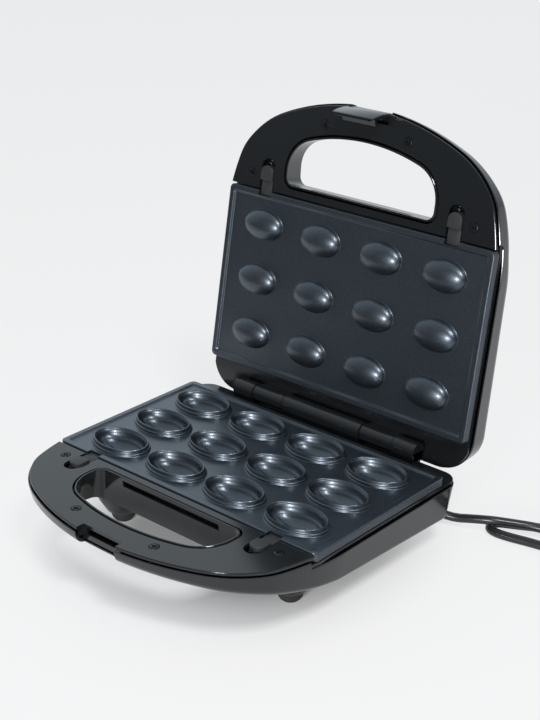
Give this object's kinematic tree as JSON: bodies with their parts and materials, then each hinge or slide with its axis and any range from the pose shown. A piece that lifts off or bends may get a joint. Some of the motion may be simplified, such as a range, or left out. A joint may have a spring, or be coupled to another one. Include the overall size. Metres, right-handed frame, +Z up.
{
  "type": "snack maker",
  "caption": "Countertop snack maker with a hinged lid, ribbed non-stick cup plate below and domed plate above, handle openings in both halves, front clip and a lead with plug",
  "frame": {"origin": "on the table, below the middle of the lower plate", "axes": "+X to the right seen from the handle side, +Y to the hinge at the back, +Z up; the lid stands open"},
  "size_m": [0.414, 0.3408, 0.2711],
  "materials": {
    "gloss_black": "gloss",
    "matte_black": "matte",
    "nonstick": "satin non-stick coating",
    "foot_rubber": "matte",
    "steel": "plain",
    "dark_steel": "blackened",
    "bright_sheet": "bright sheet",
    "sensor": "satin",
    "white_plastic": "matte",
    "red_lens": "clear tinted",
    "green_lens": "clear tinted",
    "cord_black": "satin",
    "brass": "plain"
  },
  "bodies": {
    "base": {"base_deck": "gloss_black", "base_deck_screws": "dark_steel", "base_reflector_screws": "steel", "base_shell": "gloss_black", "cord_coil": "cord_black", "cord_gland": "matte_black", "cord_tie": "matte_black", "heater_leads": "white_plastic", "hinge_pins": "steel", "lower_element_brackets": "bright_sheet", "lower_heating_element": "dark_steel", "lower_latch_springs": "steel", "lower_plate": "nonstick", "lower_reflector": "bright_sheet", "lower_thermal_fuse": "sensor", "lower_thermostat": "sensor", "plug_blades": "brass", "plug_body": "matte_black", "power_cord": "cord_black", "rubber_feet": "foot_rubber", "terminal_block": "white_plastic"},
    "lid": {"lid_shell": "gloss_black", "lid_deck": "gloss_black", "upper_plate": "nonstick", "upper_heating_element": "dark_steel", "upper_reflector": "bright_sheet", "upper_element_brackets": "bright_sheet", "upper_thermostat": "sensor", "upper_latch_springs": "steel", "lid_deck_screws": "dark_steel", "lid_reflector_screws": "steel", "clip_pin": "steel", "power_lamp_lens": "red_lens", "ready_lamp_lens": "green_lens", "lamp_holder": "white_plastic"},
    "clip": {"lid_clip": "gloss_black"},
    "lower_latch_left": {"lower_latch_left": "matte_black"},
    "lower_latch_right": {"lower_latch_right": "matte_black"},
    "upper_latch_left": {"upper_latch_left": "matte_black"},
    "upper_latch_right": {"upper_latch_right": "matte_black"}
  },
  "joints": [
    {"name": "lid_hinge", "type": "hinge", "parent": "base", "child": "lid", "pos_m": [0, 0.0802, 0.0578], "axis": [1, 0, 0], "range_deg": [0, 100.9]},
    {"name": "clip_hinge", "type": "hinge", "parent": "lid", "child": "clip", "pos_m": [0, 0.12888, 0.26514], "axis": [-1, 0, 0], "range_deg": [0, 30]},
    {"name": "lower_latch_left_slide", "type": "slide", "parent": "base", "child": "lower_latch_left", "axis": [0, -1, 0], "range_m": [0, 0.004], "stiffness_N_per_m": 60, "springref_m": -0.006},
    {"name": "upper_latch_left_slide", "type": "slide", "parent": "lid", "child": "upper_latch_left", "axis": [0, 0.1891, 0.982], "range_m": [0, 0.004], "stiffness_N_per_m": 60, "springref_m": -0.006},
    {"name": "lower_latch_right_slide", "type": "slide", "parent": "base", "child": "lower_latch_right", "axis": [0, -1, 0], "range_m": [0, 0.004], "stiffness_N_per_m": 60, "springref_m": -0.006},
    {"name": "upper_latch_right_slide", "type": "slide", "parent": "lid", "child": "upper_latch_right", "axis": [0, 0.1891, 0.982], "range_m": [0, 0.004], "stiffness_N_per_m": 60, "springref_m": -0.006}
  ]
}
